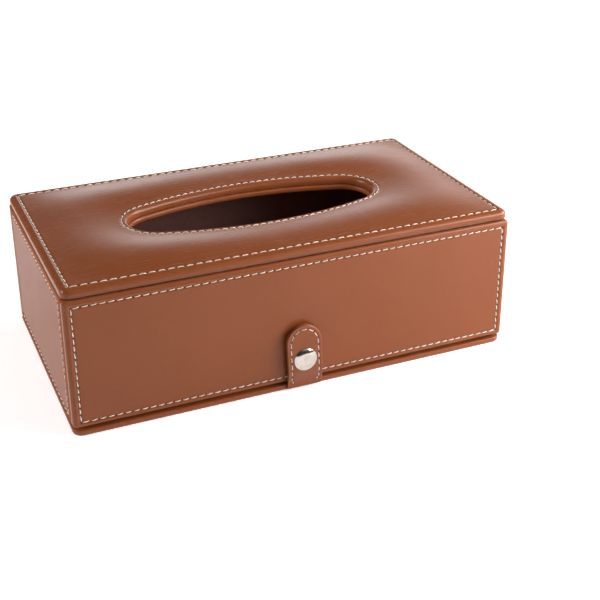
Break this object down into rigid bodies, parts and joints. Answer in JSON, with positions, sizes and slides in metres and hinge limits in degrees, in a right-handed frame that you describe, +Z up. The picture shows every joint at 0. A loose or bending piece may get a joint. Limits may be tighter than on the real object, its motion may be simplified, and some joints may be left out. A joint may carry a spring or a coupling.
{
  "type": "tissue box",
  "caption": "Rectangular leather-covered tissue box with an oval slot in its padded top and a hinged bottom flap held shut by a strap with a press stud.",
  "frame": {"origin": "centre of the walls' footprint (240 by 132 mm) on the surface that the box stands on, in the plane of the closed flap's underside", "axes": "+X along the length, +Y to the back (the flap's hinge), -Y to the front (the strap), +Z up through the oval slot"},
  "size_m": [0.24, 0.1377, 0.0784],
  "materials": {
    "leather": "smooth cognac-brown coated leather with a soft satin sheen, pale lockstitched seams",
    "lining": "short black-brown velour lining",
    "board": "grey-brown pressed board, hidden inside the leather",
    "foam": "thin cream foam, hidden under the top's leather",
    "snap_metal": "polished nickel plate"
  },
  "bodies": {
    "box": {"front_cover": "leather", "front_board": "board", "front_lining": "lining", "back_cover": "leather", "back_board": "board", "back_lining": "lining", "left_cover": "leather", "left_board": "board", "left_lining": "lining", "right_cover": "leather", "right_board": "board", "right_lining": "lining", "top_cover": "leather", "top_board": "board", "top_foam": "foam", "top_infill": "board", "frame_cover": "leather", "frame_board": "board", "ceiling_lining": "lining", "snap_stud": "snap_metal", "snap_rivet": "snap_metal"},
    "flap": {"flap_cover": "leather", "flap_board": "board", "flap_lining": "lining", "strap_tail": "leather", "hinge_strip": "leather"},
    "strap": {"strap_front": "leather", "strap_back": "leather", "strap_fold": "leather", "snap_cap": "snap_metal", "snap_socket": "snap_metal", "snap_spring": "snap_metal"}
  },
  "joints": [
    {"name": "flap_hinge", "type": "hinge", "parent": "box", "child": "flap", "pos_m": [0, 0.06615, 0.0038], "axis": [1, 0, 0], "range_deg": [0, 180], "deforming": ["hinge_strip"]},
    {"name": "strap_hinge", "type": "hinge", "parent": "flap", "child": "strap", "pos_m": [0, -0.068, 0.0032], "axis": [1, 0, 0], "range_deg": [0, 90], "deforming": ["strap_fold"]}
  ]
}
